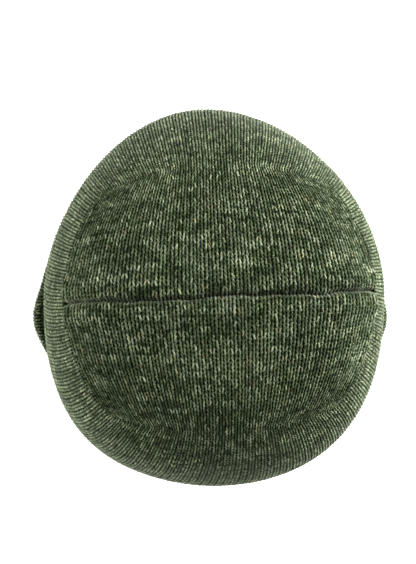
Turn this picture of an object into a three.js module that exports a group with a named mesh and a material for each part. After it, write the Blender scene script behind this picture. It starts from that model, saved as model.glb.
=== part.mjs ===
// A cuffed rib-knit beanie that stands on its hem with the crown up.
// One double-layer knitted tube is closed at the crown by a straight seam and two boxed corners,
// and its lower end is turned up outside as a cuff. Millimetres, +Z up, origin at the centre of
// the hem on the surface that the hat stands on. +Y is the back, and the crown seam runs along X.
import * as THREE from 'three';
import { mergeVertices } from 'three/addons/utils/BufferGeometryUtils.js';

// Driving dimensions
const hatHeight = 160;
const bodyWidth = 131;        // along X, where the body is widest
const bodyDepth = 148;        // along Y, at the same height
const frontFullness = 0.056;  // how far the front's quarters stand out from an ellipse
const backFullness = -0.024;  // the back's quarters are flatter than an ellipse
const widestHeight = 98;      // height of the widest ring
const bulgeStart = 40;        // above this height the body bulges out along Y
const roundingHeights = [45, 95]; // between these the body's plan turns from pointed to round
const cuffHeight = 67;
const cuffWidth = 148;        // across the two creased corners
const cornerReach = 3;        // how far a creased corner stands out from the rest of its ring
const cornerSharpness = 0.18;
const cornerPlace = -0.12;    // sine of a creased corner's direction, a little in front of X
const hemDepth = 122;         // along Y, at the floor
const crownSeamLength = 115;
const cornerSeamDepth = 83;   // along Y, across one boxed corner
const cornerSeamInset = 15;   // how far a corner seam's ends lie inside the crown seam's ends
const crownLean = [3.8, -5.5]; // the soft crown leans this far along X and Y
const crownTwist = THREE.MathUtils.degToRad(2.4);
const crownPowers = [2.5, 3.6]; // how square the crown's shoulders are along Y and along X

// Knit and seams
const layerThickness = 1.8;
const layerGap = 0.6;
const cuffGap = 0.8;          // air between the body and the turned-up band
const foldThickness = 2.0;
const allowanceDepth = 7;
const allowanceThickness = 4.4;
const threadThickness = 0.5;
const touchGap = 0.3;
const seamClearance = 1.0;    // from the lining down to a seam allowance's root
const seamJoinGap = 4;        // between the crown seam's allowance and a corner seam's
const cornerSeamSetback = 2.5; // a corner seam's allowance starts this far inside its seam
const cornerSeamDrop = 1.5;   // and this much lower than the crown seam's
const cornerSeamTilt = THREE.MathUtils.degToRad(37); // its edge tilts towards the middle
const overlockStart = 2;      // the thread starts this far down an allowance
const labelHalfAngle = 0.30;  // radians to each side of the back
const labelThickness = 0.6;
const stitchMargin = 0.02;    // radians from the label's end to its row of stitches
const stitchDrop = 2;         // from the label's top edge down to the row
const stitchWidth = 1;

// Mesh resolution
const sideColumns = 12;       // on each boxed-corner strip
const panelColumns = 18;      // on the front and on the back strip
const crownRows = 7;
const seamSteps = 14;
const labelSteps = 8;
const smallestArea = 1e-4;    // a triangle with less area than this is left out
const cuffRows = [22, 40, 54];
const bodyRows = [...cuffRows, 68, 83];

// Ribs around the tube set where the boxed-corner strips end
const ribsAround = 164;
const sideRibs = 38;
const sideTurn = (sideRibs / ribsAround) * 2 * Math.PI;
const panelTurn = Math.PI - sideTurn;

// Depths below the hat's outer surface
const bodyInset = 0;
const outerInner = bodyInset + layerThickness;
const liningOuter = outerInner + layerGap;
const liningInner = liningOuter + layerThickness;
const backingInner = -cuffGap;
const backingOuter = backingInner - layerThickness;
const faceInner = backingOuter - layerGap;
const faceOuter = faceInner - layerThickness;
const cuffOutside = -faceOuter; // from the body's outer surface out to the cuff's

const lerp = THREE.MathUtils.lerp;
const smooth = (value, low, high) => THREE.MathUtils.smoothstep(value, low, high);

// Column angles: equal steps on each strip, with a column on each strip's edge.
function columnAngles() {
  const angles = [];
  let start = -sideTurn / 2;
  for (const [turn, steps] of [
    [sideTurn, sideColumns], [panelTurn, panelColumns],
    [sideTurn, sideColumns], [panelTurn, panelColumns],
  ]) {
    for (let step = 0; step < steps; step += 1) {
      angles.push(start + (turn * step) / steps);
    }
    start += turn;
  }
  return angles;
}
const angles = columnAngles();

// Leans and turns a point of the crown on the body, more the higher it is.
function settled(x, y, z) {
  const share = smooth(z, widestHeight, hatHeight);
  const turn = crownTwist * share;
  return new THREE.Vector3(
    x * Math.cos(turn) - y * Math.sin(turn) + crownLean[0] * share,
    x * Math.sin(turn) + y * Math.cos(turn) + crownLean[1] * share,
    z,
  );
}

// A ring of two arcs whose blunt meeting at +X and -X is drawn out into a creased corner, as the
// folds of a tube that is stored flat are.
function creasedPoint(angle, halfWidth, halfDepth) {
  const arcWidth = halfWidth - cornerReach;
  const radius = (arcWidth ** 2 + halfDepth ** 2) / (2 * halfDepth);
  const edge = Math.asin(arcWidth / radius);
  const turn = Math.atan2(Math.sin(angle), Math.cos(angle));
  const along = edge * (1 - (2 * Math.abs(turn)) / Math.PI);
  const y = radius * Math.cos(along) - (radius - halfDepth);
  const fromCorner = (Math.sin(angle) - cornerPlace) / cornerSharpness;
  const crease = cornerReach * Math.exp(-(fromCorner ** 2));
  return [radius * Math.sin(along) + Math.sign(Math.cos(angle)) * crease, Math.sign(turn || 1) * y];
}

// Scale of an ellipse's points that makes a soft ring: full at the front, flatter at the back.
function fullness(angle) {
  const most = Math.sin(angle) < 0 ? frontFullness : backFullness;
  return 1 + most * Math.sin(2 * angle) ** 2;
}

// Half depth of the body's outer surface at a height: straight in the cuff, then bulging out.
function halfDepthAt(z) {
  return lerp(hemDepth / 2 - cuffOutside, bodyDepth / 2, smooth(z, bulgeStart, widestHeight));
}

// A point at a height up to the widest ring. inset is the depth below the body's outer surface,
// and is negative outside it. The cuff keeps its creases while the body inside it turns round.
function wallPoint(angle, z, inset) {
  const halfDepth = halfDepthAt(z);
  const cornerHalfWidth = cuffWidth / 2 - cuffOutside;
  const pointed = creasedPoint(angle, cornerHalfWidth - inset, halfDepth - inset);
  const full = lerp(1, fullness(angle), smooth(z, cuffHeight, widestHeight));
  const round = [
    (bodyWidth / 2 - inset) * full * Math.cos(angle),
    (halfDepth - inset) * full * Math.sin(angle),
  ];
  const roundness = inset < 0 ? 0 : smooth(z, ...roundingHeights);
  return settled(
    lerp(pointed[0], round[0], roundness),
    lerp(pointed[1], round[1], roundness),
    z,
  );
}

// Height of the crown over a plan position: square-shouldered along X, rounder along Y.
function crownHeight(x, y, inset) {
  const across = x / (bodyWidth / 2 - inset);
  const along = y / (bodyDepth / 2 - inset);
  const angle = Math.atan2(along, across);
  const spread = Math.min(1, Math.hypot(across, along) / fullness(angle));
  const power = lerp(...crownPowers, Math.cos(angle) ** 2);
  const rise = (1 - spread ** power) ** (1 / power);
  return widestHeight + (hatHeight - inset - widestHeight) * rise;
}

// The crown seam's point that a column runs to: its own place, or the seam's end for a corner.
function seamX(angle, inset) {
  const half = crownSeamLength / 2 - inset;
  const fromSide = Math.abs(Math.atan2(Math.sin(angle), Math.cos(angle)));
  const place = 1 - (2 * (fromSide - sideTurn / 2)) / panelTurn;
  return half * THREE.MathUtils.clamp(place, -1, 1);
}

function crownPoint(angle, row, inset) {
  const toSeam = 1 - Math.cos((Math.PI / 2) * (row / crownRows));
  const full = fullness(angle);
  const rim = [
    (bodyWidth / 2 - inset) * full * Math.cos(angle),
    (bodyDepth / 2 - inset) * full * Math.sin(angle),
  ];
  const x = lerp(rim[0], seamX(angle, inset), toSeam);
  const y = row === crownRows ? 0 : lerp(rim[1], 0, toSeam);
  return settled(x, y, crownHeight(x, y, inset));
}

// Rings of one surface from a bottom height up to the crown seam.
function layerRings(bottom, inset) {
  const rings = [bottom, ...bodyRows].map((z) => angles.map((angle) => wallPoint(angle, z, inset)));
  for (let row = 0; row <= crownRows; row += 1) {
    rings.push(angles.map((angle) => crownPoint(angle, row, inset)));
  }
  return rings;
}

// A closed solid from a list of points and quads, without the triangles that have no area.
function solidFrom(points, quads) {
  const corners = [];
  const addTriangle = (a, b, c) => {
    const area = new THREE.Triangle(points[a], points[b], points[c]).getArea();
    if (area > smallestArea) {
      corners.push(...points[a].toArray(), ...points[b].toArray(), ...points[c].toArray());
    }
  };
  for (const [a, b, c, d] of quads) {
    addTriangle(a, b, c);
    addTriangle(a, c, d);
  }
  const geometry = new THREE.BufferGeometry();
  geometry.setAttribute('position', new THREE.Float32BufferAttribute(corners, 3));
  const merged = mergeVertices(geometry, 1e-3);
  merged.computeVertexNormals();
  return merged;
}

// Joins each ring of points to the next with a band of quads. They face outward where the list
// runs up an outside. closed joins the last ring to the first as well.
function ringSolid(rings, closed) {
  const around = rings[0].length;
  const quads = [];
  const bands = closed ? rings.length : rings.length - 1;
  for (let band = 0; band < bands; band += 1) {
    const low = band * around;
    const high = ((band + 1) % rings.length) * around;
    for (let step = 0; step < around; step += 1) {
      const next = (step + 1) % around;
      quads.push([low + step, low + next, high + next, high + step]);
    }
  }
  return solidFrom(rings.flat(), quads);
}

// A layer of the body: up the outside to the crown seam, and the inside joined at the hem.
function bodyLayer(bottom, outside, inside) {
  const inner = layerRings(bottom, inside).reverse();
  const outer = layerRings(bottom, outside);
  return ringSolid([...inner, ...outer], false);
}

// Rings round the hat from [height, inset] places.
const ringsAt = (places) => places.map(
  ([z, inset]) => angles.map((angle) => wallPoint(angle, z, inset)),
);

// The turned-up band's visible layer, with the fold on the floor and the fold over its top edge.
function cuffFace() {
  const topInside = cuffHeight - foldThickness;
  const foldEnd = liningOuter - touchGap;
  return ringSolid(ringsAt([
    [0, faceOuter],
    ...cuffRows.map((z) => [z, faceOuter]),
    [cuffHeight, faceOuter],
    [cuffHeight, backingInner],
    [topInside, backingInner],
    [topInside, faceInner],
    ...cuffRows.slice().reverse().map((z) => [z, faceInner]),
    [foldThickness, faceInner],
    [foldThickness, foldEnd],
    [0, foldEnd],
  ]), true);
}

function cuffBacking() {
  const low = foldThickness + touchGap;
  const high = cuffHeight - foldThickness - touchGap;
  const heights = [low, ...cuffRows, high];
  return ringSolid(ringsAt([
    ...heights.map((z) => [z, backingOuter]),
    ...heights.reverse().map((z) => [z, backingInner]),
  ]), true);
}

// A bar through a row of stations, each holding the section's points in the same order. The
// outline is the section drawn flat, and its triangles close the two ends.
function stationSolid(stations, outline) {
  const count = outline.length;
  const last = (stations.length - 1) * count;
  const quads = [];
  for (let here = 0; here < last; here += count) {
    const there = here + count;
    for (let corner = 0; corner < count; corner += 1) {
      const next = (corner + 1) % count;
      quads.push([here + corner, there + corner, there + next, here + next]);
    }
  }
  const flat = outline.map(([across, up]) => new THREE.Vector2(across, up));
  const turn = Math.sign(THREE.ShapeUtils.area(flat));
  for (const corners of THREE.ShapeUtils.triangulateShape(flat, [])) {
    const same = Math.sign(THREE.ShapeUtils.area(corners.map((corner) => flat[corner]))) === turn;
    const [a, b, c] = same ? corners : corners.slice().reverse();
    quads.push([a, b, c, c], [last + c, last + b, last + a, last + a]);
  }
  return solidFrom(stations.flat(), quads);
}

// Sweeps a section along a seam. Each frame has an origin, an inward direction (down into the
// hat) and a sideways direction, and the section's points are [inward, sideways] distances.
function sweepSolid(frames, section) {
  const stations = frames.map((frame) => section.map(([inward, sideways]) => {
    const point = frame.origin.clone().addScaledVector(frame.inward, inward);
    return point.addScaledVector(frame.sideways, sideways);
  }));
  return stationSolid(stations, section);
}

// Frames along the crown seam, hanging straight down under the lining.
function crownSeamFrames() {
  const half = crownSeamLength / 2 - liningInner - allowanceDepth - seamJoinGap;
  const frames = [];
  for (let step = 0; step <= seamSteps; step += 1) {
    const x = lerp(-half, half, step / seamSteps);
    const z = crownHeight(x, 0, liningInner);
    frames.push({
      origin: settled(x, 0, z).setZ(z - seamClearance),
      inward: new THREE.Vector3(0, 0, -1),
      sideways: new THREE.Vector3(0, 1, 0),
    });
  }
  return frames;
}

// Frames along one corner seam: it bows out to the crown seam's end, and its edge points
// towards the middle of the hat.
function cornerSeamFrames(side) {
  const frames = [];
  for (let step = 0; step <= seamSteps; step += 1) {
    const place = lerp(-1, 1, step / seamSteps) * side;
    const y = (place * cornerSeamDepth) / 2;
    const seamEnd = crownSeamLength / 2 - liningInner - cornerSeamSetback;
    const bow = seamEnd - cornerSeamInset * place ** 2;
    const z = crownHeight(side * bow, y, liningInner);
    const inward = new THREE.Vector3(
      -side * Math.sin(cornerSeamTilt),
      0,
      -Math.cos(cornerSeamTilt),
    );
    const along = new THREE.Vector3(-2 * cornerSeamInset * place, (side * cornerSeamDepth) / 2, 0);
    frames.push({
      origin: settled(side * bow, y, z).setZ(z - seamClearance - cornerSeamDrop),
      inward,
      sideways: along.cross(inward).normalize(),
    });
  }
  return frames;
}

function allowanceSection() {
  const half = allowanceThickness / 2;
  return [[0, -half], [0, half], [allowanceDepth, half], [allowanceDepth, -half]];
}

// The overlock thread wraps the allowance's free edge as a channel.
function overlockSection() {
  const inside = allowanceThickness / 2 + touchGap;
  const outside = inside + threadThickness;
  const edge = allowanceDepth + touchGap;
  return [
    [overlockStart, outside], [edge + threadThickness, outside],
    [edge + threadThickness, -outside], [overlockStart, -outside],
    [overlockStart, -inside], [edge, -inside], [edge, inside], [overlockStart, inside],
  ];
}

// A patch lying on the lining's inner face at the back, between two depths. Its heights run
// upwards, and are the lining's own rows where it is tall, so that it lies flat on them.
function liningPatch(heights, halfAngle, outside, inside) {
  const section = [
    ...heights.map((z) => [z, inside]),
    ...heights.slice().reverse().map((z) => [z, outside]),
  ];
  const stations = [];
  for (let step = 0; step <= labelSteps; step += 1) {
    const angle = Math.PI / 2 + lerp(halfAngle, -halfAngle, step / labelSteps);
    stations.push(section.map(([z, inset]) => wallPoint(angle, z, inset)));
  }
  return stationSolid(stations, section);
}

const knitColour = 0x414b36;
const threadColour = 0x2b3322;
const labelColour = 0xe4e2da;
const knitRoughness = 0.95;
const threadRoughness = 0.7;
const labelRoughness = 0.6;

const hat = new THREE.Group();
hat.name = 'knit_beanie';

function addPiece(name, geometry, color, roughness) {
  const material = new THREE.MeshStandardMaterial({ color, roughness, metalness: 0 });
  const mesh = new THREE.Mesh(geometry, material);
  mesh.name = name;
  hat.add(mesh);
}

const bodyBottom = foldThickness + touchGap;
addPiece('outer_layer', bodyLayer(bodyBottom, bodyInset, outerInner), knitColour, knitRoughness);
addPiece('lining_layer', bodyLayer(touchGap, liningOuter, liningInner), knitColour, knitRoughness);
addPiece('cuff_face', cuffFace(), knitColour, knitRoughness);
addPiece('cuff_backing', cuffBacking(), knitColour, knitRoughness);

const seams = {
  crown_seam: crownSeamFrames(),
  left_corner_seam: cornerSeamFrames(-1),
  right_corner_seam: cornerSeamFrames(1),
};
for (const [name, frames] of Object.entries(seams)) {
  addPiece(`${name}_allowance`, sweepSolid(frames, allowanceSection()), knitColour, knitRoughness);
  addPiece(`${name}_overlock`, sweepSolid(frames, overlockSection()), threadColour, threadRoughness);
}

const labelHeights = [...bodyRows.slice(-2), widestHeight];
const labelOutside = liningInner + touchGap;
const labelInside = labelOutside + labelThickness;
addPiece(
  'care_label',
  liningPatch(labelHeights, labelHalfAngle, labelOutside, labelInside),
  labelColour,
  labelRoughness,
);
const stitchTop = widestHeight - stitchDrop;
const stitchHeights = [stitchTop - stitchWidth, stitchTop];
const stitchHalfAngle = labelHalfAngle - stitchMargin;
const stitchOutside = labelInside + 2 * touchGap;
addPiece(
  'care_label_stitches',
  liningPatch(stitchHeights, stitchHalfAngle, stitchOutside, stitchOutside + threadThickness),
  threadColour,
  threadRoughness,
);

export default hat;
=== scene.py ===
"""A cuffed rib-knit beanie standing on its hem, seen from above.

The fabric is built in its own coordinates: ribs counted round the tube, and distance from the
crown seam along the ribs. A coarse net of those coordinates is relaxed over the hat's form with
its seams held, and each knitted piece is then drawn on the net, stitch by stitch.
"""
import math
import bpy
import numpy as np
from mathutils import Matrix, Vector


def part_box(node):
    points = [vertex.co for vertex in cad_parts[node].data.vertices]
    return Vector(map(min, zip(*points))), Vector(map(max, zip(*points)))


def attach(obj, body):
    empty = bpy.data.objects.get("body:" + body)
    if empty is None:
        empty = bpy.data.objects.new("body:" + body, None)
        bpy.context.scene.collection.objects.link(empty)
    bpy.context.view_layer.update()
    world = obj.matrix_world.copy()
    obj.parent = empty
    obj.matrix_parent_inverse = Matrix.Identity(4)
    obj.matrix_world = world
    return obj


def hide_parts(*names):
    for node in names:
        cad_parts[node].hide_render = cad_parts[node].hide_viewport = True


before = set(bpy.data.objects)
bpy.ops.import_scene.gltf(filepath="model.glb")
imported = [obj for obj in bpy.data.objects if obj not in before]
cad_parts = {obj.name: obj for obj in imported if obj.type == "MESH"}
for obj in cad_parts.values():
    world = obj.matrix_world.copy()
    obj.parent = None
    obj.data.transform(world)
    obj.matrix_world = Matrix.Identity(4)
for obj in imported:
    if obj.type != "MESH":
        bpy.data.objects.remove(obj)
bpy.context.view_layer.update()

MM = 0.001

# The knit: a fine 1x1 rib, in one double tube
RIBS_AROUND = 164
SIDE_RIBS = 38                 # on each boxed-corner strip
PANEL_RIBS = 44                # on the front and on the back strip
COURSE = 1.33 * MM             # height of one row of stitches
RIB_PITCH = 2.5 * MM
RIB_RELIEF = 0.9 * MM          # from the valley between two ribs to the top of a rib
LINING_DEPTH = 3.6 * MM        # from the outer layer's face to the lining's
LINING_INNER = 4.2 * MM        # from the outer layer's face to the inside of the hat

# The hat's form, from the frame where the frame has it
body_low, body_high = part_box("outer_layer")
_, cuff_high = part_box("cuff_face")
BODY_HALF_DEPTH = (body_high.y - body_low.y) / 2
BODY_HALF_WIDTH = 65.5 * MM
HAT_HEIGHT = body_high.z
WIDEST_HEIGHT = 98 * MM
BULGE_START = 40 * MM
ROUNDING_HEIGHTS = (45 * MM, 95 * MM)
FRONT_FULLNESS = 0.056
BACK_FULLNESS = -0.024
CROWN_POWERS = (2.5, 3.6)      # how square the shoulders are along Y and along X
CUFF_HEIGHT = cuff_high.z
CUFF_HALF_WIDTH = cuff_high.x
CUFF_OUTSIDE = 5.0 * MM        # from the body's outside to the cuff's outside
HEM_HALF_DEPTH = 61 * MM
CORNER_REACH = 3.0 * MM        # how far a creased corner stands out from the rest of its ring
CORNER_FLARE = (2.0 * MM, 0.6 * MM)  # and how much further a cuff corner does, low down and at its top
CORNER_SHARPNESS = 0.18
CORNER_PLACE = -0.12           # sine of a creased corner's direction, a little in front of X
SEAM_HALF = 57.5 * MM          # half the crown seam
CORNER_HALF = 41.5 * MM        # half a boxed corner's seam, along Y
CORNER_INSET = 15.0 * MM       # a corner seam's ends lie this far inside the crown seam's ends
CROWN_LEAN = Vector((3.8 * MM, -5.5 * MM, 0))
CROWN_TWIST = math.radians(2.4)

# Seams and label inside the hat
ALLOWANCE_DEPTH = 7 * MM
ALLOWANCE_HALF = 2.2 * MM
ALLOWANCE_LAYERS = 4
SEAM_CLEARANCE = 1.0 * MM
SEAM_JOIN_GAP = 4 * MM
CORNER_SETBACK = 2.5 * MM
CORNER_DROP = 1.5 * MM
CORNER_TILT = math.radians(37)
THREAD_RADIUS = 0.28 * MM
ASIDE_FROM_THREADS = (0.31, 0.22, 0.93)  # a direction that no thread runs along
LABEL_HALF_ANGLE = 0.30
LABEL_HEIGHTS = (68 * MM, 98 * MM)
LABEL_INSET = 4.8 * MM
LABEL_CURL = 1.0 * MM
LABEL_WAVE = 0.4               # how uneven the curl is, as a share of it
LABEL_THICKNESS = 0.25 * MM
LABEL_ROWS = 21
LABEL_COLUMNS = 25
LABEL_STITCHES = 12
STITCH_LENGTH = 0.05           # as a share of the label's width
STITCH_DROP = 2.5 * MM
STITCH_ARCH = 0.25 * MM
STITCH_LIFT = 0.35 * MM
STITCH_POINTS = 7
CROWN_STATIONS = 300
CORNER_STATIONS = 220
LAYER_POINTS = 8
LOBE_DEPTH = 0.7 * MM          # of each layer's rounded edge
LOBE_START = 0.8 * MM
RIPPLE = 0.06
RIPPLE_TURN = 1.9              # radians from one station to the next
OVERLOCK_LOOPS = 38
LOOP_POINTS = 14
LOOP_HALF_DEPTH = 3.0 * MM
LOOP_RISE = 2.4 * MM           # from the allowance's edge back to the middle of a loop
LOOP_CLEARANCE = 0.45 * MM

# The net that carries the fabric: a row every two courses
NET_ROW = 2 * COURSE
TOP_ROWS = 16                  # net rows beside a corner seam
FOLD_ROWS = 9                  # below it, net rows that its fold runs on down the hat
NET_ROWS = 75
SLIDE_ROUNDS = 900             # rounds that spread the net evenly
WIDEST_ROW = TOP_ROWS + 20     # the row that the first guess lays at the widest ring
SPRING_ROUNDS = 400            # rounds that then give ribs and courses their own widths
SPRING_STEP = 0.15
STIFFNESS = 0.6                # how much the knit resists being skewed, beside its springs
RIB_REST = 2.3 * MM            # a rib's width where nothing stretches it
SHORTEST = 0.3 * MM
NARROWEST_RIB = (1.85 * MM, 1.0 * MM)  # along X, beside a corner's seam and at its fold's end
SWELLS_DOWN = 7                # soft swells from the crown seam to the hem
SWELLS_AROUND = 15
SWELL = 0.35 * MM
SWELL_FADE = 20 * MM           # above the cuff, where the swells set in

# Pieces of knit: how finely they are drawn, and how far they reach
SAMPLES_PER_RIB = 10
SAMPLES_PER_COURSE = 5
LINING_RIB_SAMPLES = 5
LINING_ROW_SAMPLES = 6         # for each net row
LINING_RELIEF = 0.7            # how deep its stitches are, as a share of the outer layer's
PANEL_PARTS = 3
SIDE_PARTS = 2
CUFF_PARTS = 8
BODY_ROWS = 60                 # the outer layer's net rows, from the crown seam into the cuff
LINING_ROWS = 71               # the lining's, from the crown seam nearly to the hem
KNIT_COURSES = 170

# One stitch shows as two leaning legs. Widths are shares of a rib, and lengths are in courses.
LEG_ASIDE = 0.24               # from the rib's middle to the middle of a leg
LEG_LEAN = 0.17                # how much further aside a leg's top is, for each course
LEG_HALF_WIDTH = 0.165
LEG_HALF_LENGTH = 0.80
LEG_TUCK = 0.16                # how much lower a leg's foot lies than its top, for each course
LEG_HEIGHT = 0.8
LEVEL = 0.6                    # the relief that lies on the fabric's smooth surface

# The crown seam's line, and the ridges along the corner seams
SEAM_DIP = 2.3 * MM
SEAM_WIDTH = 0.6 * MM
SEAM_PUFF = 1.4 * MM           # of the ribs on both sides
PUFF_AT = 4.5 * MM
PUFF_WIDTH = 4 * MM
WANDER_WIDTH = 3 * MM
WANDER_LONG = (0.4 * MM, 8.3 * MM, 0.6)   # a wave's reach, its length over 2 pi, its phase
WANDER_MIDDLE = (0.3 * MM, 3.7 * MM, 0.0)
WANDER_SHORT = (0.2 * MM, 1.9 * MM, 2.0)
RIDGE = 0.9 * MM
RIDGE_WIDTH = 2.4 * MM
GROOVE = 0.6 * MM
GROOVE_WIDTH = 0.5 * MM
FADE_START = 0.8               # share of a corner seam's half where its ridge starts to fade

# The cuff's profile: heights, and distances outside the body
BAND_START = 52 * MM           # the end that is tucked inside the top fold
BAND_END = 20 * MM             # the end that runs up inside the hem
FOLD_DROP = 3 * MM             # from the cuff's top down to the middle of its top fold
FOLD_RADIUS = 2.0 * MM
FOLD_MIDDLE = 3.1 * MM
HEM_HEIGHT = 4.4 * MM          # of the hem fold's middle
HEM_DROP = 4.0 * MM
HEM_MIDDLE = 0.4 * MM
HEM_HALF_WIDTH = 4.6 * MM
FOLD_POINTS = 24
HEM_POINTS = 30

# The studio
FLOOR_SIZE = 6
FLOOR_COLOUR = (0.92, 0.92, 0.92, 1)
FLOOR_GLOW = 0.75
SURROUND_LIGHT = 0.32
CAMERA_DISTANCE = 0.70
CAMERA_ELEVATION = math.radians(84.5)
CAMERA_LENS = 122.4

# Columns where the strips meet: right side, back, left side, front
RIGHT_FRONT = 0
RIGHT_BACK = SIDE_RIBS
LEFT_BACK = SIDE_RIBS + PANEL_RIBS
LEFT_FRONT = 2 * SIDE_RIBS + PANEL_RIBS

# Each corner's column, which way its side strip lies, and its sides along X and Y
CORNERS = [
    (RIGHT_FRONT, 1, 1, -1),
    (RIGHT_BACK, -1, 1, 1),
    (LEFT_BACK, 1, -1, 1),
    (LEFT_FRONT, -1, -1, -1),
]


def smoothstep(value, low, high):
    share = np.clip((value - low) / (high - low), 0, 1)
    return share * share * (3 - 2 * share)


def mix(a, b, share):
    return a + (b - a) * share


# ---------------------------------------------------------------- the hat's form

def column_angle(column):
    """The direction of a rib column at the widest ring; column 19 is at +X."""
    return (np.asarray(column, float) - SIDE_RIBS / 2) * (2 * math.pi / RIBS_AROUND)


def creased(angle, half_width, half_depth):
    """Two arcs whose blunt meeting at +X and -X is drawn out into a creased corner, as the folds
    of a tube that is stored flat are."""
    arc_width = half_width - CORNER_REACH
    radius = (arc_width ** 2 + half_depth ** 2) / (2 * half_depth)
    edge = np.arcsin(arc_width / radius)
    turn = np.arctan2(np.sin(angle), np.cos(angle))
    along = edge * (1 - 2 * np.abs(turn) / math.pi)
    y = radius * np.cos(along) - (radius - half_depth)
    crease = CORNER_REACH * np.exp(-((np.sin(angle) - CORNER_PLACE) / CORNER_SHARPNESS) ** 2)
    return radius * np.sin(along) + np.sign(np.cos(angle)) * crease, np.where(turn < 0, -y, y)


def fullness(angle):
    """Scale that makes an ellipse full at the front and flatter at the back."""
    most = np.where(np.sin(angle) < 0, FRONT_FULLNESS, BACK_FULLNESS)
    return 1 + most * np.sin(2 * angle) ** 2


def half_depth_at(z):
    share = smoothstep(z, BULGE_START, WIDEST_HEIGHT)
    return mix(HEM_HALF_DEPTH - CUFF_OUTSIDE, BODY_HALF_DEPTH, share)


def body_plan(angle, z, inset=0.0):
    """Plan position on the body below the widest ring, this far inside its outer surface."""
    half_depth = half_depth_at(z) - inset
    pointed = creased(angle, CUFF_HALF_WIDTH - CUFF_OUTSIDE - inset, half_depth)
    full = mix(1, fullness(angle), smoothstep(z, CUFF_HEIGHT, WIDEST_HEIGHT))
    across = (BODY_HALF_WIDTH - inset) * full * np.cos(angle)
    along = half_depth * full * np.sin(angle)
    roundness = smoothstep(z, *ROUNDING_HEIGHTS)
    return mix(pointed[0], across, roundness), mix(pointed[1], along, roundness)


def cuff_plan(angle, z, outside):
    """Plan position on the cuff, this far outside the body. Its two creased corners are drawn
    in at the top fold and stand out lower down."""
    x, y = creased(angle, CUFF_HALF_WIDTH - CUFF_OUTSIDE + outside, half_depth_at(z) + outside)
    flare = mix(CORNER_FLARE[0], CORNER_FLARE[1], smoothstep(z, 0.3 * CUFF_HEIGHT, CUFF_HEIGHT))
    corner = np.exp(-((np.sin(angle) - CORNER_PLACE) / CORNER_SHARPNESS) ** 2)
    return x + np.sign(x) * corner * flare, y


def crown_height(x, y, inset=0.0):
    across = x / (BODY_HALF_WIDTH - inset)
    along = y / (BODY_HALF_DEPTH - inset)
    angle = np.arctan2(along, across)
    spread = np.clip(np.hypot(across, along) / fullness(angle), 0, 1)
    power = mix(*CROWN_POWERS, np.cos(angle) ** 2)
    rise = (1 - spread ** power) ** (1 / power)
    return WIDEST_HEIGHT + (HAT_HEIGHT - inset - WIDEST_HEIGHT) * rise


def wall_table():
    """Distance from the axis at each height and direction, so that a loose point can be put
    back on the wall."""
    heights = np.linspace(0, WIDEST_HEIGHT, 60)
    turns = np.linspace(-math.pi, math.pi, 361)
    radii = np.empty((len(heights), len(turns)))
    angles = np.linspace(-math.pi, math.pi, 1441)
    for row, z in enumerate(heights):
        x, y = body_plan(angles, np.full_like(angles, z))
        order = np.argsort(np.arctan2(y, x))
        radii[row] = np.interp(turns, np.arctan2(y, x)[order], np.hypot(x, y)[order])
    return radii


def on_form(points, radii):
    """The nearest place on the hat's form, along a line from its middle."""
    x, y, z = points[..., 0], points[..., 1], points[..., 2]
    across = x / BODY_HALF_WIDTH
    along = y / BODY_HALF_DEPTH
    up = np.clip((z - WIDEST_HEIGHT) / (HAT_HEIGHT - WIDEST_HEIGHT), 0, None)
    angle = np.arctan2(along, across)
    spread = np.hypot(across, along) / fullness(angle)
    power = mix(*CROWN_POWERS, np.cos(angle) ** 2)
    scale = (spread ** power + up ** power) ** (-1 / power)
    row = np.clip(z / WIDEST_HEIGHT, 0, 1) * (radii.shape[0] - 1)
    turn = (np.arctan2(y, x) + math.pi) / (2 * math.pi) * (radii.shape[1] - 1)
    low_row = np.clip(row.astype(int), 0, radii.shape[0] - 2)
    low_turn = np.clip(turn.astype(int), 0, radii.shape[1] - 2)
    row_share = row - low_row
    turn_share = turn - low_turn
    near = mix(radii[low_row, low_turn], radii[low_row, low_turn + 1], turn_share)
    far = mix(radii[low_row + 1, low_turn], radii[low_row + 1, low_turn + 1], turn_share)
    wall_scale = mix(near, far, row_share) / np.hypot(x, y)
    above = z > WIDEST_HEIGHT
    plan = np.where(above, scale, wall_scale)
    height = np.where(above, WIDEST_HEIGHT + (z - WIDEST_HEIGHT) * scale, z)
    return np.stack([x * plan, y * plan, height], axis=-1)


def even_steps(points, count):
    """count + 1 places at equal distances along a line of points."""
    steps = np.linalg.norm(np.diff(points, axis=0), axis=1)
    travelled = np.concatenate([[0], np.cumsum(steps)])
    wanted = np.linspace(0, travelled[-1], count + 1)
    return np.stack([np.interp(wanted, travelled, points[:, i]) for i in range(3)], axis=1)


def seam_line(half):
    """The crown seam from +X to -X."""
    x = np.linspace(half, -half, 400)
    return np.stack([x, np.zeros_like(x), crown_height(x, 0 * x)], axis=1)


def corner_line(side_x, side_y):
    """Half a corner seam, from the crown seam's end out to the corner seam's end."""
    share = np.linspace(0, 1, 200)
    x = side_x * (SEAM_HALF - CORNER_INSET * share ** 2)
    y = side_y * CORNER_HALF * share
    return np.stack([x, y, crown_height(x, y)], axis=1)


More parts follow.
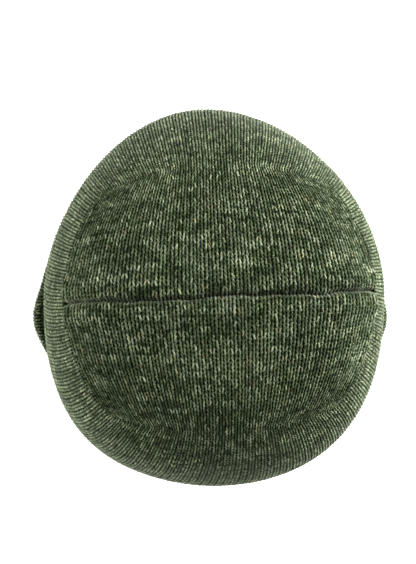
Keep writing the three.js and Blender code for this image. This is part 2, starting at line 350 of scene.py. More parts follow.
def first_net():
    """The net with its seams and hem in place, and a guess between them."""
    net = np.zeros((NET_ROWS + 1, RIBS_AROUND, 3))
    held = np.zeros((NET_ROWS + 1, RIBS_AROUND), bool)
    columns = np.arange(RIBS_AROUND)
    angle = column_angle(columns)
    seam = even_steps(seam_line(SEAM_HALF), PANEL_RIBS)
    net[:TOP_ROWS + 1, RIGHT_BACK:LEFT_BACK + 1] = seam
    front = np.arange(LEFT_FRONT, RIBS_AROUND + 1) % RIBS_AROUND
    net[:TOP_ROWS + 1, front] = seam[::-1]
    held[0] = True
    for column, turn, side_x, side_y in CORNERS:
        line = corner_line(side_x, side_y)
        net[:TOP_ROWS + 1, column] = even_steps(line, TOP_ROWS)
        top = even_steps(line[::-1], SIDE_RIBS // 2)
        strip = (column + turn * np.arange(SIDE_RIBS // 2 + 1)) % RIBS_AROUND
        net[TOP_ROWS, strip] = top
        held[:TOP_ROWS + 1, column] = True
        held[TOP_ROWS, strip] = True
        held[:TOP_ROWS, strip] = True
    hem = np.stack([*body_plan(angle, np.zeros(RIBS_AROUND)), np.zeros(RIBS_AROUND)], axis=1)
    widest = np.stack([
        BODY_HALF_WIDTH * fullness(angle) * np.cos(angle),
        BODY_HALF_DEPTH * fullness(angle) * np.sin(angle),
        np.full(RIBS_AROUND, WIDEST_HEIGHT),
    ], axis=1)
    for panel in (range(RIGHT_BACK + 1, LEFT_BACK), range(LEFT_FRONT + 1, RIBS_AROUND)):
        for row in range(1, WIDEST_ROW):
            share = math.sin(row / WIDEST_ROW * math.pi / 2)
            net[row, panel] = mix(net[0, panel], widest[panel], share)
    strips = [*range(RIGHT_FRONT, RIGHT_BACK + 1), *range(LEFT_BACK, LEFT_FRONT + 1)]
    for row in range(TOP_ROWS + 1, WIDEST_ROW):
        share = (row - TOP_ROWS) / (WIDEST_ROW - TOP_ROWS)
        net[row, strips] = mix(net[TOP_ROWS, strips], widest[strips], share)
    for row in range(WIDEST_ROW, NET_ROWS + 1):
        net[row] = mix(widest, hem, (row - WIDEST_ROW) / (NET_ROWS - WIDEST_ROW))
    held[NET_ROWS] = True
    fold = slice(TOP_ROWS + 1, TOP_ROWS + 1 + FOLD_ROWS)
    for column, *_ in CORNERS:
        held[fold, column] = True
    return net, held


def lean_and_twist(points):
    """The soft crown leans and turns a little on the body."""
    share = smoothstep(points[..., 2], WIDEST_HEIGHT, HAT_HEIGHT)
    turn = CROWN_TWIST * share
    x, y = points[..., 0], points[..., 1]
    return np.stack([
        x * np.cos(turn) - y * np.sin(turn) + CROWN_LEAN.x * share,
        x * np.sin(turn) + y * np.cos(turn) + CROWN_LEAN.y * share,
        points[..., 2],
    ], axis=-1)


def relaxed_net():
    """Lets the knit slide over the form until it lies evenly between the seams, and then pulls
    its ribs and courses towards their own widths with springs."""
    net, held = first_net()
    radii = wall_table()
    free = ~held
    loose = free.copy()
    loose[TOP_ROWS + 1:] = True
    net[loose] = on_form(net[loose], radii)
    inner = free[1:-1]
    for _ in range(SLIDE_ROUNDS):
        beside = np.roll(net, 1, axis=1)[1:-1] + np.roll(net, -1, axis=1)[1:-1]
        along = net[:-2] + net[2:]
        middle = (beside + along) / 4
        net[1:-1][inner] = on_form(middle[inner], radii)
        hold_back(net)
    for _ in range(SPRING_ROUNDS):
        beside = np.roll(net, 1, axis=1)[1:-1] + np.roll(net, -1, axis=1)[1:-1]
        pull = (
            STIFFNESS * (beside + net[:-2] + net[2:] - 4 * net[1:-1])
            + spring(np.roll(net, 1, axis=1)[1:-1] - net[1:-1], RIB_REST)
            + spring(np.roll(net, -1, axis=1)[1:-1] - net[1:-1], RIB_REST)
            + spring(net[:-2] - net[1:-1], NET_ROW)
            + spring(net[2:] - net[1:-1], NET_ROW)
        )
        moved = net[1:-1] + SPRING_STEP * pull
        net[1:-1][inner] = on_form(moved[inner], radii)
        hold_back(net)
    net[free] = on_form(net[free], radii)
    return lean_and_twist(softened(net))


def hold_back(net):
    """Keeps the ribs of the front and back from sliding over a corner's seam and fold."""
    rows = slice(1, TOP_ROWS + FOLD_ROWS)
    ribs = np.arange(1, PANEL_RIBS // 2)
    below = smoothstep(np.arange(1, TOP_ROWS + FOLD_ROWS), TOP_ROWS, TOP_ROWS + FOLD_ROWS)
    narrowest = mix(*NARROWEST_RIB, below)[:, None]
    for column, turn, side_x, _ in CORNERS:
        beside = (column - turn * ribs) % RIBS_AROUND
        limit = side_x * net[rows, column, :1] - ribs * narrowest
        net[rows, beside, 0] = side_x * np.minimum(side_x * net[rows, beside, 0], limit)


def spring(reach, rest):
    """Pull along a thread that is longer than its rest length, or push along a shorter one."""
    length = np.linalg.norm(reach, axis=-1, keepdims=True)
    return reach * (1 - rest / np.maximum(length, SHORTEST))


def softened(net):
    """Soft low dents and swells in the loose part of the hat, above the cuff."""
    generator = np.random.default_rng(19)
    knots = generator.normal(0, 1, (SWELLS_DOWN + 3, SWELLS_AROUND))
    knots = np.concatenate([knots[:, -1:], knots, knots[:, :2]], axis=1)
    down = spline_weights(np.linspace(0, SWELLS_DOWN, NET_ROWS + 1), SWELLS_DOWN + 1)
    around = spline_weights(np.arange(RIBS_AROUND) / RIBS_AROUND * SWELLS_AROUND, SWELLS_AROUND + 1)
    swell = down @ knots @ around.T
    loose = smoothstep(net[..., 2], CUFF_HEIGHT, CUFF_HEIGHT + SWELL_FADE)
    outward = net - np.array([0, 0, WIDEST_HEIGHT])
    outward /= np.linalg.norm(outward, axis=-1, keepdims=True)
    return net + outward * (SWELL * swell * loose)[..., None]


# ---------------------------------------------------------------- drawing pieces on the net

def spline_weights(places, count):
    """Smooth weights that read a row of evenly spaced values, with one more value before the
    first and after the last, at fractional places."""
    low = np.clip(np.floor(places).astype(int), 0, count - 2)
    f = (places - low)[:, None]
    weights = np.zeros((len(places), count + 2))
    rows = np.arange(len(places))
    basis = [
        (-f + 2 * f ** 2 - f ** 3) / 2,
        (2 - 5 * f ** 2 + 3 * f ** 3) / 2,
        (f + 4 * f ** 2 - 3 * f ** 3) / 2,
        (-f ** 2 + f ** 3) / 2,
    ]
    for step, weight in enumerate(basis):
        weights[rows, low + step] = weight[:, 0]
    return weights


def padded_strip(net, first_row, last_row, first_column, last_column):
    """Part of the net with one more line of points on each side. Beside a seam, where the net's
    next column belongs to another strip, the line is carried straight on."""
    rows = np.arange(first_row, last_row + 1)
    columns = np.arange(first_column - 1, last_column + 2) % RIBS_AROUND
    strip = net[np.ix_(rows, columns)]
    if first_row < TOP_ROWS:
        seam = slice(0, TOP_ROWS - first_row)
        strip[seam, 0] = 2 * strip[seam, 1] - strip[seam, 2]
        strip[seam, -1] = 2 * strip[seam, -2] - strip[seam, -3]
    above = 2 * strip[:1] - strip[1:2]
    if last_row == NET_ROWS:
        below = 2 * strip[-1:] - strip[-2:-1]
    else:
        below = net[last_row + 1, columns][None]
    return np.concatenate([above, strip, below])


def surface(net, rows, columns):
    """Smooth points and outward normals at fractional rows and columns."""
    first_row, last_row = int(math.floor(rows[0])), int(math.ceil(rows[-1]))
    first_column, last_column = int(math.floor(columns[0])), int(math.ceil(columns[-1]))
    strip = padded_strip(net, first_row, last_row, first_column, last_column)
    row_weights = spline_weights(rows - first_row, last_row - first_row + 1)
    column_weights = spline_weights(columns - first_column, last_column - first_column + 1)
    points = np.einsum("ra,abc->rbc", row_weights, strip)
    points = np.einsum("kb,rbc->rkc", column_weights, points)
    return points, grid_normals(points)


def grid_normals(points):
    """Unit normals of a grid of points."""
    down = np.gradient(points, axis=0)
    across = np.gradient(points, axis=1)
    normals = np.cross(down, across)
    length = np.linalg.norm(normals, axis=-1, keepdims=True)
    return normals / np.maximum(length, 1e-12)


def slow_noise(count, spacing, generator):
    """A smooth random line of values between about -1 and 1."""
    knots = generator.normal(0, 0.5, int(count / spacing) + 4)
    places = np.arange(count) / spacing
    return spline_weights(places, len(knots) - 2) @ knots


def rib_columns(first, last, samples=SAMPLES_PER_RIB):
    """Fractional columns that sample each rib from one valley to another."""
    return np.linspace(first, last, (last - first) * samples + 1)


class Knit:
    """The stitches' relief, tones and tints, the same wherever a rib goes."""

    def __init__(self, courses):
        generator = np.random.default_rng(7)
        stitches = (RIBS_AROUND, courses, 2)
        self.courses = courses
        self.shift = generator.uniform(0, 0.35, RIBS_AROUND)
        self.wander = np.stack([
            slow_noise(courses, 9, generator) * 0.3 for _ in range(RIBS_AROUND)
        ])
        self.sway = np.stack([
            slow_noise(courses, 5, generator) * 0.07 for _ in range(RIBS_AROUND)
        ])
        self.aside = generator.normal(0, 0.022, stitches)
        self.rise = generator.normal(0, 0.07, stitches)
        yarn = generator.normal(0, 1, (RIBS_AROUND, courses))
        yarn = (yarn + np.roll(yarn, 1, axis=0) + np.roll(yarn, 2, axis=0)) / math.sqrt(3)
        self.tone = 0.6 * yarn[..., None] + 0.8 * generator.normal(0, 1, stitches)
        self.tint = generator.uniform(0, 1, stitches)

    def along_rib(self, table, rib, low, share):
        return mix(table[rib][:, low].T, table[rib][:, low + 1].T, share)

    def at(self, courses, columns):
        """Named values on a grid of courses and columns; relief is 0 in a valley and 1 on top."""
        column = np.minimum(np.floor(columns + 1e-6), columns[-1] - 1).astype(int)
        rib = column % RIBS_AROUND
        row = np.clip(courses, 0, self.courses - 1.001)
        low = row.astype(int)
        share = (row - low)[:, None]
        across = (np.clip(columns - column, 0, 1) - 0.5)[None, :]
        inside_rib = 1 - (2 * across) ** 2
        offset = across + self.along_rib(self.sway, rib, low, share) * inside_rib
        stitch = courses[:, None] + self.shift[rib] + self.along_rib(self.wander, rib, low, share)
        best = 0.07 + 0.07 * np.cos(2 * math.pi * stitch) * np.ones_like(offset)
        tone = np.zeros_like(best)
        tint = np.zeros_like(best)
        for step in (-1, 0, 1):
            cell = np.floor(stitch).astype(int) + step
            below = stitch - cell - 0.5
            for side in (0, 1):
                leg = (rib[None, :], cell % self.courses, side)
                middle = LEG_ASIDE - LEG_LEAN * below + self.aside[leg]
                reach = ((2 * side - 1) * offset - middle) / LEG_HALF_WIDTH
                roundness = np.sqrt(np.clip(1 - reach ** 2, 0, 1))
                taper = np.clip(1 - (below / LEG_HALF_LENGTH) ** 4, 0, 1)
                height = roundness * taper * (LEG_HEIGHT + self.rise[leg]) - LEG_TUCK * below * taper
                on_top = (height > best) & (roundness > 0)
                best = np.where(on_top, height, best)
                tone = np.where(on_top, self.tone[leg], tone)
                tint = np.where(on_top, self.tint[leg], tint)
        relief = best * (0.8 + 0.2 * np.sqrt(np.clip(inside_rib, 0, 1)))
        return {
            "relief": relief,
            "tone": tone,
            "tint": tint,
            "across": offset,
            "stitch": stitch,
            "rib": np.broadcast_to(rib + 0.0, relief.shape),
        }


knit = Knit(KNIT_COURSES)
net = relaxed_net()


def add_grid(name, points, layers, uv=None):
    """A mesh of quads through a grid of points, with named values on its points."""
    rows, columns = points.shape[:2]
    index = np.arange(rows * columns).reshape(rows, columns)
    quads = np.stack([index[:-1, :-1], index[1:, :-1], index[1:, 1:], index[:-1, 1:]], axis=-1)
    quads = quads.reshape(-1, 4)
    mesh = bpy.data.meshes.new(name)
    mesh.vertices.add(rows * columns)
    mesh.vertices.foreach_set("co", points.reshape(-1).astype(np.float32))
    mesh.loops.add(quads.size)
    mesh.loops.foreach_set("vertex_index", quads.reshape(-1).astype(np.int32))
    mesh.polygons.add(len(quads))
    mesh.polygons.foreach_set("loop_start", np.arange(0, quads.size, 4, dtype=np.int32))
    mesh.polygons.foreach_set("use_smooth", np.ones(len(quads), bool))
    for layer, values in layers.items():
        attribute = mesh.attributes.new(layer, "FLOAT", "POINT")
        attribute.data.foreach_set("value", values.reshape(-1).astype(np.float32))
    mesh.update(calc_edges=True)
    if uv is not None:
        uv_layer = mesh.uv_layers.new(name="knit")
        corners = uv.reshape(-1, 2)[quads.reshape(-1)]
        uv_layer.data.foreach_set("uv", corners.reshape(-1).astype(np.float32))
    piece = bpy.data.objects.new(name, mesh)
    bpy.context.scene.collection.objects.link(piece)
    return piece


def finish_piece(piece, nodes, material):
    piece.data.materials.append(material)
    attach(piece, "root")
    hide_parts(*nodes)


def knit_piece(name, points, normals, courses, columns, relief_scale=1.0):
    """Draws stitches on a smooth surface."""
    layers = knit.at(courses, columns)
    height = (layers["relief"] - LEVEL) * RIB_RELIEF * relief_scale
    raised = points + normals * height[..., None]
    uv = np.stack([
        np.broadcast_to(columns[None, :] * RIB_PITCH / MM, height.shape),
        np.broadcast_to(courses[:, None] * COURSE / MM, height.shape),
    ], axis=-1)
    return add_grid(name, raised, layers, uv)


# ---------------------------------------------------------------- materials

def knit_material(name, dark, middle, light):
    material = bpy.data.materials.new(name)
    material.use_nodes = True
    nodes, links = material.node_tree.nodes, material.node_tree.links
    shader = nodes["Principled BSDF"]
    shader.inputs["Roughness"].default_value = 0.95
    shader.inputs["Specular IOR Level"].default_value = 0.12
    shader.inputs["Sheen Weight"].default_value = 0.6
    shader.inputs["Sheen Roughness"].default_value = 0.35
    shader.inputs["Sheen Tint"].default_value = (0.80, 0.84, 0.68, 1)

    def attribute(layer):
        node = nodes.new("ShaderNodeAttribute")
        node.attribute_name = layer
        return node.outputs["Fac"]

    def maths(operation, a, b=0.0):
        node = nodes.new("ShaderNodeMath")
        node.operation = operation
        for socket, value in zip(node.inputs, (a, b)):
            if isinstance(value, (int, float)):
                socket.default_value = value
            else:
                links.new(value, socket)
        return node.outputs[0]

    def noise(vector, scale, detail, roughness=0.6):
        node = nodes.new("ShaderNodeTexNoise")
        node.inputs["Scale"].default_value = scale
        node.inputs["Detail"].default_value = detail
        node.inputs["Roughness"].default_value = roughness
        links.new(vector, node.inputs["Vector"])
        return node.outputs["Fac"]

    def ramp(value, stops):
        node = nodes.new("ShaderNodeValToRGB")
        elements = node.color_ramp.elements
        while len(elements) < len(stops):
            elements.new(0.5)
        for element, (place, colour) in zip(elements, stops):
            element.position = place
            element.color = (*colour, 1)
        links.new(value, node.inputs["Fac"])
        return node.outputs["Color"]

    def blend(kind, share, a, b):
        node = nodes.new("ShaderNodeMix")
        node.data_type = "RGBA"
        node.blend_type = kind
        if isinstance(share, (int, float)):
            node.inputs["Factor"].default_value = share
        else:
            links.new(share, node.inputs["Factor"])
        links.new(a, node.inputs["A"])
        links.new(b, node.inputs["B"])
        return node.outputs["Result"]

    relief, tone, tint = attribute("relief"), attribute("tone"), attribute("tint")
    across, stitch, rib = attribute("across"), attribute("stitch"), attribute("rib")
    place = nodes.new("ShaderNodeTexCoord").outputs["Object"]

    # Fibres run along the legs, so the flecks are long along a leg and short across it
    fibre = nodes.new("ShaderNodeCombineXYZ")
    links.new(maths("MULTIPLY", across, 9.0), fibre.inputs["X"])
    links.new(maths("MULTIPLY", stitch, 2.2), fibre.inputs["Y"])
    links.new(maths("MULTIPLY", rib, 7.31), fibre.inputs["Z"])
    fleck = noise(fibre.outputs[0], 1.9, 3.0, 0.7)
    cloud = noise(place, 70, 3.0, 0.6)
    grain = noise(place, 2600, 2.0, 0.6)

    # Undyed light fibres against dark ones: each leg has its own share, with finer flecks on it
    leg_share = maths("ADD", maths("MULTIPLY", tone, 0.08), 0.5)
    fine_share = maths("ADD", maths("MULTIPLY", fleck, 1.0), maths("MULTIPLY", grain, 0.6))
    share = maths("ADD", leg_share, maths("SUBTRACT", fine_share, 0.8))
    heather = ramp(share, [(0.20, dark), (0.50, middle), (0.85, light)])
    tints = ramp(tint, [
        (0.88, (1, 1, 1)), (0.92, (1.22, 0.95, 0.88)), (0.97, (1.18, 1.0, 0.88)), (1.0, (1.15, 1.14, 0.8)),
    ])
    tinted = blend("MULTIPLY", 1.0, heather, tints)
    # Painted shade: the base colour darkens towards black where the relief is low, in the valleys between
    # ribs and the holes between legs, where shade falls on the real knit
    depth = ramp(relief, [
        (0.05, (0.03, 0.03, 0.03)), (0.35, (0.18, 0.18, 0.18)), (0.62, (0.75, 0.75, 0.75)), (0.9, (1, 1, 1)),
    ])
    with_painted_valley_shade = blend("MULTIPLY", 1.0, tinted, depth)
    patch = ramp(cloud, [(0.3, (0.85, 0.85, 0.85)), (0.7, (1.12, 1.12, 1.10))])
    links.new(blend("MULTIPLY", 1.0, with_painted_valley_shade, patch), shader.inputs["Base Color"])

    bump = nodes.new("ShaderNodeBump")
    bump.inputs["Strength"].default_value = 0.5
    bump.inputs["Distance"].default_value = 0.12 * MM
    links.new(fine_share, bump.inputs["Height"])
    links.new(bump.outputs[0], shader.inputs["Normal"])
    return material


outer_knit = knit_material("outer_knit", (0.005, 0.010, 0.003), (0.082, 0.126, 0.052), (0.74, 0.86, 0.56))
lining_knit = knit_material("lining_knit", (0.016, 0.023, 0.011), (0.09, 0.12, 0.064), (0.36, 0.40, 0.29))


# ---------------------------------------------------------------- the pieces

def crown_seam_shape(rows, points, normals):
    """The crown seam pulls the fabric down in a thin wandering line, and the ribs puff up on
    both sides of it."""
    along = rows[:, None] * NET_ROW
    dip = -SEAM_DIP * np.exp(-(along / SEAM_WIDTH) ** 2)
    puff = SEAM_PUFF * np.exp(-((along - PUFF_AT) / PUFF_WIDTH) ** 2)
    shaped = points + normals * (dip + puff)[..., None]
    near = np.exp(-(along / WANDER_WIDTH) ** 2)
    for reach, length, phase in (WANDER_LONG, WANDER_MIDDLE, WANDER_SHORT):
        shaped[..., 1] += reach * np.sin(points[..., 0] / length + phase) * near
    return shaped


def corner_ridge(distance):
    """Height of the ridge beside a corner seam, and of the fine groove of the seam itself."""
    ridge = RIDGE * np.exp(-(distance / RIDGE_WIDTH) ** 2)
    groove = GROOVE * np.exp(-(distance / GROOVE_WIDTH) ** 2)
    return ridge - groove


def fade_out(share):
    """Full along most of a corner seam, gone at its end."""
    return 1 - smoothstep(share, FADE_START, 1.0)


def body_rows(first, last):
    """Fractional net rows that sample each course."""
    per_net_row = 2 * SAMPLES_PER_COURSE
    return np.linspace(first, last, (last - first) * per_net_row + 1)


def parts_of(first, ribs, count):
    """First and last columns of nearly equal parts of a strip."""
    cuts = np.linspace(first, first + ribs, count + 1).round().astype(int)
    return enumerate(zip(cuts[:-1], cuts[1:]), start=1)


def panel_pieces(name, first_column):
    """A front or back panel, from the crown seam down into the cuff."""
    pieces = []
    for part, (start, end) in parts_of(first_column, PANEL_RIBS, PANEL_PARTS):
        columns = rib_columns(start, end)
        rows = body_rows(0, BODY_ROWS)
        points, normals = surface(net, rows, columns)
        points = crown_seam_shape(rows, points, normals)
        edge = np.minimum(columns - first_column, first_column + PANEL_RIBS - columns) * RIB_PITCH
        ridge = corner_ridge(edge)[None, :] * fade_out(rows / TOP_ROWS)[:, None]
        points = points + normals * ridge[..., None]
        pieces.append(knit_piece(f"outer_{name}_{part}", points, normals, rows * 2 + 1, columns))
    return pieces


def side_pieces(name, first_column):
    """A side strip, from its boxed-corner seam down into the cuff."""
    pieces = []
    for part, (start, end) in parts_of(first_column, SIDE_RIBS, SIDE_PARTS):
        columns = rib_columns(start, end)
        rows = body_rows(TOP_ROWS, BODY_ROWS)
        points, normals = surface(net, rows, columns)
        below = (rows - TOP_ROWS)[:, None] * NET_ROW
        from_middle = np.abs(columns - first_column - SIDE_RIBS / 2) / (SIDE_RIBS / 2)
        ridge = corner_ridge(below) * fade_out(from_middle)[None, :]
        points = points + normals * ridge[..., None]
        pieces.append(knit_piece(f"outer_{name}_{part}", points, normals, rows * 2, columns))
    return pieces


def make_outer():
    pieces = [
        *panel_pieces("back", RIGHT_BACK),
        *panel_pieces("front", LEFT_FRONT),
        *side_pieces("right", RIGHT_FRONT),
        *side_pieces("left", LEFT_BACK),
    ]
    for piece in pieces:
        finish_piece(piece, ["outer_layer"], outer_knit)


def cuff_profile():
    """[height, outside] places and distances along the band: from inside its top edge, over
    the fold, down the face, round the hem fold and up inside the hat."""
    fold_height = CUFF_HEIGHT - FOLD_DROP
    places = [(BAND_START, FOLD_MIDDLE - FOLD_RADIUS)]
    for turn in np.linspace(math.pi, 0, FOLD_POINTS):
        z = fold_height + FOLD_RADIUS * math.sin(turn)
        places.append((z, FOLD_MIDDLE + FOLD_RADIUS * math.cos(turn)))
    places.append((HEM_HEIGHT, FOLD_MIDDLE + FOLD_RADIUS))
    for turn in np.linspace(0, -math.pi, HEM_POINTS)[1:]:
        z = HEM_HEIGHT + HEM_DROP * math.sin(turn)
        places.append((z, HEM_MIDDLE + HEM_HALF_WIDTH * math.cos(turn)))
    places.append((BAND_END, HEM_MIDDLE - HEM_HALF_WIDTH))
    places = np.array(places)
    steps = np.linalg.norm(np.diff(places, axis=0), axis=1)
    return places, np.concatenate([[0], np.cumsum(steps)])


def make_cuff():
    places, travelled = cuff_profile()
    courses = np.arange(0, travelled[-1] / COURSE, 1 / SAMPLES_PER_COURSE)
    z = np.interp(courses * COURSE, travelled, places[:, 0])[:, None]
    outside = np.interp(courses * COURSE, travelled, places[:, 1])[:, None]
    for part, (start, end) in parts_of(0, RIBS_AROUND, CUFF_PARTS):
        columns = rib_columns(start, end)
        x, y = cuff_plan(column_angle(columns)[None, :], z, outside)
        points = np.stack([x, y, np.broadcast_to(z, x.shape)], axis=-1)
        piece = knit_piece(f"cuff_{part}", points, grid_normals(points), courses, columns)
        finish_piece(piece, ["cuff_face", "cuff_backing"], outer_knit)


def make_lining():
    strips = [
        ("back", RIGHT_BACK, PANEL_RIBS, 0),
        ("front", LEFT_FRONT, PANEL_RIBS, 0),
        ("right", RIGHT_FRONT, SIDE_RIBS, TOP_ROWS),
        ("left", LEFT_BACK, SIDE_RIBS, TOP_ROWS),
    ]
    for name, first, ribs, top in strips:
        columns = rib_columns(first, first + ribs, LINING_RIB_SAMPLES)
        rows = np.linspace(top, LINING_ROWS, (LINING_ROWS - top) * LINING_ROW_SAMPLES + 1)
        points, normals = surface(net, rows, columns)
        points = points - normals * LINING_DEPTH
        piece = knit_piece(
            f"lining_{name}", points[:, ::-1], -normals[:, ::-1], rows * 2, columns, LINING_RELIEF
        )
        finish_piece(piece, ["lining_layer"], lining_knit)


# ---------------------------------------------------------------- inside the hat

def add_tube(points, radius, sides=6):
    """Rings of points round a thread that runs along a line."""
    forward = np.gradient(points, axis=0)
    forward /= np.linalg.norm(forward, axis=1, keepdims=True)
    across = np.cross(forward, ASIDE_FROM_THREADS)
    across /= np.linalg.norm(across, axis=1, keepdims=True)
    other = np.cross(forward, across)
    turn = np.linspace(0, 2 * math.pi, sides, endpoint=False)
    ring = np.cos(turn)[None, :, None] * across[:, None] + np.sin(turn)[None, :, None] * other[:, None]
    return points[:, None] + radius * ring


def add_rings(name, tubes):
    """One mesh of closed tubes, each a stack of rings of points."""
    vertices, faces = [], []
    for rings in tubes:
        stations, sides = rings.shape[:2]
        start = len(vertices)
        vertices.extend(rings.reshape(-1, 3).tolist())
        for station in range(stations - 1):
            for side in range(sides):
                here = start + station * sides + side
                beside = start + station * sides + (side + 1) % sides
                faces.append((here, beside, beside + sides, here + sides))
        faces.append(tuple(range(start + sides - 1, start - 1, -1)))
        faces.append(tuple(range(start + (stations - 1) * sides, start + stations * sides)))
    mesh = bpy.data.meshes.new(name)
    mesh.from_pydata(vertices, [], faces)
    mesh.shade_smooth()
    piece = bpy.data.objects.new(name, mesh)
    bpy.context.scene.collection.objects.link(piece)
    return piece


def crown_seam_frames():
    """Places along the crown seam's allowance, with the way in and the way across."""
    half = SEAM_HALF - LINING_INNER - ALLOWANCE_DEPTH - SEAM_JOIN_GAP
    x = np.linspace(-half, half, CROWN_STATIONS)
    y = np.zeros_like(x)
    z = crown_height(x, y, LINING_INNER)
    origins = lean_and_twist(np.stack([x, y, z], axis=1)) - [0, 0, SEAM_CLEARANCE]
    inward = np.broadcast_to([0.0, 0.0, -1.0], origins.shape)
    sideways = np.broadcast_to([0.0, 1.0, 0.0], origins.shape)
    return origins, inward, sideways


def corner_seam_frames(side):
    """The same for the boxed corner on one side."""
    place = np.linspace(-1, 1, CORNER_STATIONS) * side
    y = place * CORNER_HALF
    x = side * (SEAM_HALF - LINING_INNER - CORNER_SETBACK - CORNER_INSET * place ** 2)
    z = crown_height(x, y, LINING_INNER)
    origins = lean_and_twist(np.stack([x, y, z], axis=1))
    origins[:, 2] = z - SEAM_CLEARANCE - CORNER_DROP
    inward = np.array([-side * math.sin(CORNER_TILT), 0.0, -math.cos(CORNER_TILT)])
    along = np.stack([
        -2 * CORNER_INSET * place,
        np.full_like(place, side * CORNER_HALF),
        0 * place,
    ], axis=1)
    sideways = np.cross(along, inward)
    sideways /= np.linalg.norm(sideways, axis=1, keepdims=True)
    return origins, np.broadcast_to(inward, origins.shape), sideways


def swept(frames, section):
    """Rings of a section of [inward, sideways] distances along a seam."""
    origins, inward, sideways = frames
    return (origins[:, None] + inward[:, None] * section[..., :1] + sideways[:, None] * section[..., 1:])


def allowance_section(count):
    """Four knitted layers side by side, with their ribs' ends showing as a soft ripple."""
    layer = np.linspace(-1, 1, ALLOWANCE_LAYERS * LAYER_POINTS + 1)
    lobes = np.abs(np.sin(ALLOWANCE_LAYERS * math.pi * (layer + 1) / 2)) ** 0.5
    depth = ALLOWANCE_DEPTH - LOBE_START + LOBE_DEPTH * lobes
    edge = np.stack([depth, layer * ALLOWANCE_HALF], axis=1)
    root = np.array([[0, ALLOWANCE_HALF], [0, -ALLOWANCE_HALF]])
    section = np.concatenate([edge, root])
    travel = np.arange(count)[:, None]
    ripple = 1 + RIPPLE * np.sin(travel * RIPPLE_TURN) * np.ones(len(section))
    return np.stack([
        np.broadcast_to(section[:, 0], ripple.shape),
        section[:, 1] * ripple,
    ], axis=-1)


def overlock_line(frames, lag):
    """A thread that wraps the allowance's edge, loop after loop."""
    origins, inward, sideways = frames
    place = np.linspace(0, 1, OVERLOCK_LOOPS * LOOP_POINTS)
    steps = np.linspace(0, 1, len(origins))
    origin = np.stack([np.interp(place, steps, origins[:, i]) for i in range(3)], axis=1)
    into = np.stack([np.interp(place, steps, inward[:, i]) for i in range(3)], axis=1)
    aside = np.stack([np.interp(place, steps, sideways[:, i]) for i in range(3)], axis=1)
    turn = 2 * math.pi * (place * OVERLOCK_LOOPS + lag)
    depth = ALLOWANCE_DEPTH - LOOP_RISE + LOOP_HALF_DEPTH * np.cos(turn)
    across = (ALLOWANCE_HALF + LOOP_CLEARANCE) * np.sin(turn)
    return origin + into * depth[:, None] + aside * across[:, None]


def plain_material(name, colour, roughness, sheen=0.0):
    material = bpy.data.materials.new(name)
    material.use_nodes = True
    shader = material.node_tree.nodes["Principled BSDF"]
    shader.inputs["Base Color"].default_value = (*colour, 1)
    shader.inputs["Roughness"].default_value = roughness
    shader.inputs["Sheen Weight"].default_value = sheen
    return material


def make_seam_allowances():
    allowance_knit = plain_material("allowance_knit", (0.055, 0.072, 0.038), 0.95, 0.4)
    thread = plain_material("overlock_thread", (0.040, 0.052, 0.028), 0.6, 0.2)
    seams = [
        ("crown_seam", crown_seam_frames()),
        ("left_corner_seam", corner_seam_frames(-1)),
        ("right_corner_seam", corner_seam_frames(1)),
    ]
    for name, frames in seams:
        section = allowance_section(len(frames[0]))
        allowance = add_rings(f"{name}_allowance_knit", [swept(frames, section)])
        finish_piece(allowance, [f"{name}_allowance"], allowance_knit)
        threads = [add_tube(overlock_line(frames, lag), THREAD_RADIUS) for lag in (0.0, 0.5)]
        overlock = add_rings(f"{name}_overlock_thread", threads)
        finish_piece(overlock, [f"{name}_overlock"], thread)


def label_point(share, z, inset):
    """A place on the label, from one end to the other and this far inside the body."""
    angle = math.pi / 2 + LABEL_HALF_ANGLE * (1 - 2 * share)
    x, y = body_plan(angle, z, inset)
    return np.stack([x, y, z + 0 * x], axis=-1)


def make_label():
    """A woven label sewn to the lining along its top, its free end curling off a little."""
    share = np.linspace(0, 1, LABEL_COLUMNS)[None, :]
    z = np.linspace(*LABEL_HEIGHTS, LABEL_ROWS)[:, None]
    free = 1 - smoothstep(z, LABEL_HEIGHTS[0], LABEL_HEIGHTS[1])
    inset = LABEL_INSET + LABEL_CURL * free ** 2 * (1 + LABEL_WAVE * np.sin(5 * share))
    points = label_point(share, z, inset)
    label = add_grid("care_label_cloth", points[:, ::-1], {})
    solidify = label.modifiers.new("thickness", "SOLIDIFY")
    solidify.thickness = LABEL_THICKNESS
    solidify.offset = 0
    cloth = plain_material("label_cloth", (0.78, 0.77, 0.72), 0.5, 0.1)
    finish_piece(label, ["care_label"], cloth)
    stitches = []
    height = np.full(STITCH_POINTS, LABEL_HEIGHTS[1] - STITCH_DROP)
    bow = np.sin(np.linspace(0, math.pi, STITCH_POINTS))
    for start in np.linspace(0.04, 0.90, LABEL_STITCHES):
        place = start + np.linspace(0, STITCH_LENGTH, STITCH_POINTS)
        line = label_point(place, height, LABEL_INSET + STITCH_LIFT + STITCH_ARCH * bow)
        stitches.append(add_tube(line, THREAD_RADIUS * 0.8))
    row = add_rings("care_label_thread", stitches)
    thread = plain_material("label_thread", (0.3, 0.32, 0.26), 0.6)
    finish_piece(row, ["care_label_stitches"], thread)


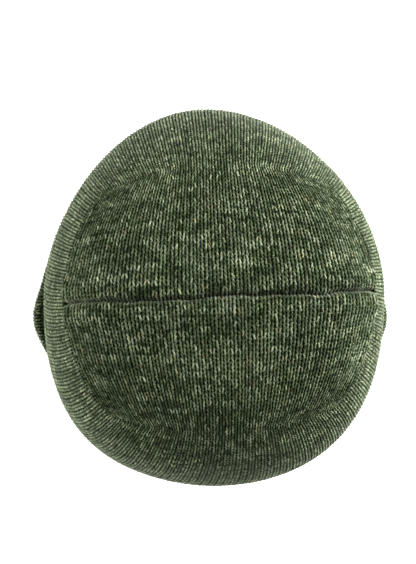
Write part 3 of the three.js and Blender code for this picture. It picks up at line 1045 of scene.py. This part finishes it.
def add_floor():
    """A pale floor that glows a little, so that it stays white under soft light."""
    bpy.ops.mesh.primitive_plane_add(size=FLOOR_SIZE, location=(0, 0, 0))
    floor = bpy.context.object
    floor.name = "floor"
    material = bpy.data.materials.new("floor")
    material.use_nodes = True
    shader = material.node_tree.nodes["Principled BSDF"]
    shader.inputs["Base Color"].default_value = FLOOR_COLOUR
    shader.inputs["Roughness"].default_value = 0.9
    shader.inputs["Emission Color"].default_value = (1, 1, 1, 1)
    shader.inputs["Emission Strength"].default_value = FLOOR_GLOW
    floor.data.materials.append(material)


def add_light(name, place, target, size, power):
    """A square soft light that faces its target."""
    data = bpy.data.lights.new(name, "AREA")
    data.size = size
    data.energy = power
    lamp = bpy.data.objects.new(name, data)
    lamp.location = place
    lamp.rotation_mode = "QUATERNION"
    lamp.rotation_quaternion = (Vector(target) - Vector(place)).to_track_quat("-Z", "Y")
    bpy.context.scene.collection.objects.link(lamp)


def add_studio():
    world = bpy.data.worlds.new("studio")
    bpy.context.scene.world = world
    world.use_nodes = True
    background = world.node_tree.nodes["Background"]
    background.inputs["Color"].default_value = (1, 1, 1, 1)
    background.inputs["Strength"].default_value = SURROUND_LIGHT
    add_light("key", (0.95, 0.38, 0.42), (0, 0, 0.1), size=0.6, power=25)
    add_light("fill", (-0.9, 0.1, 0.35), (0, 0, 0.08), size=0.7, power=9)
    bpy.context.scene.view_settings.view_transform = "Standard"


def add_camera():
    """Nearly overhead, from a little in front of the hat."""
    target = Vector((-0.9 * MM, -0.4 * MM, HAT_HEIGHT))
    back = Vector((0, -math.cos(CAMERA_ELEVATION), math.sin(CAMERA_ELEVATION)))
    data = bpy.data.cameras.new("camera")
    data.lens = CAMERA_LENS
    camera = bpy.data.objects.new("camera", data)
    camera.location = target + back * CAMERA_DISTANCE
    camera.rotation_mode = "QUATERNION"
    camera.rotation_quaternion = (-back).to_track_quat("-Z", "Y")
    bpy.context.scene.collection.objects.link(camera)
    bpy.context.scene.camera = camera


add_camera()
add_studio()
add_floor()
make_outer()
make_cuff()
make_lining()
make_seam_allowances()
make_label()
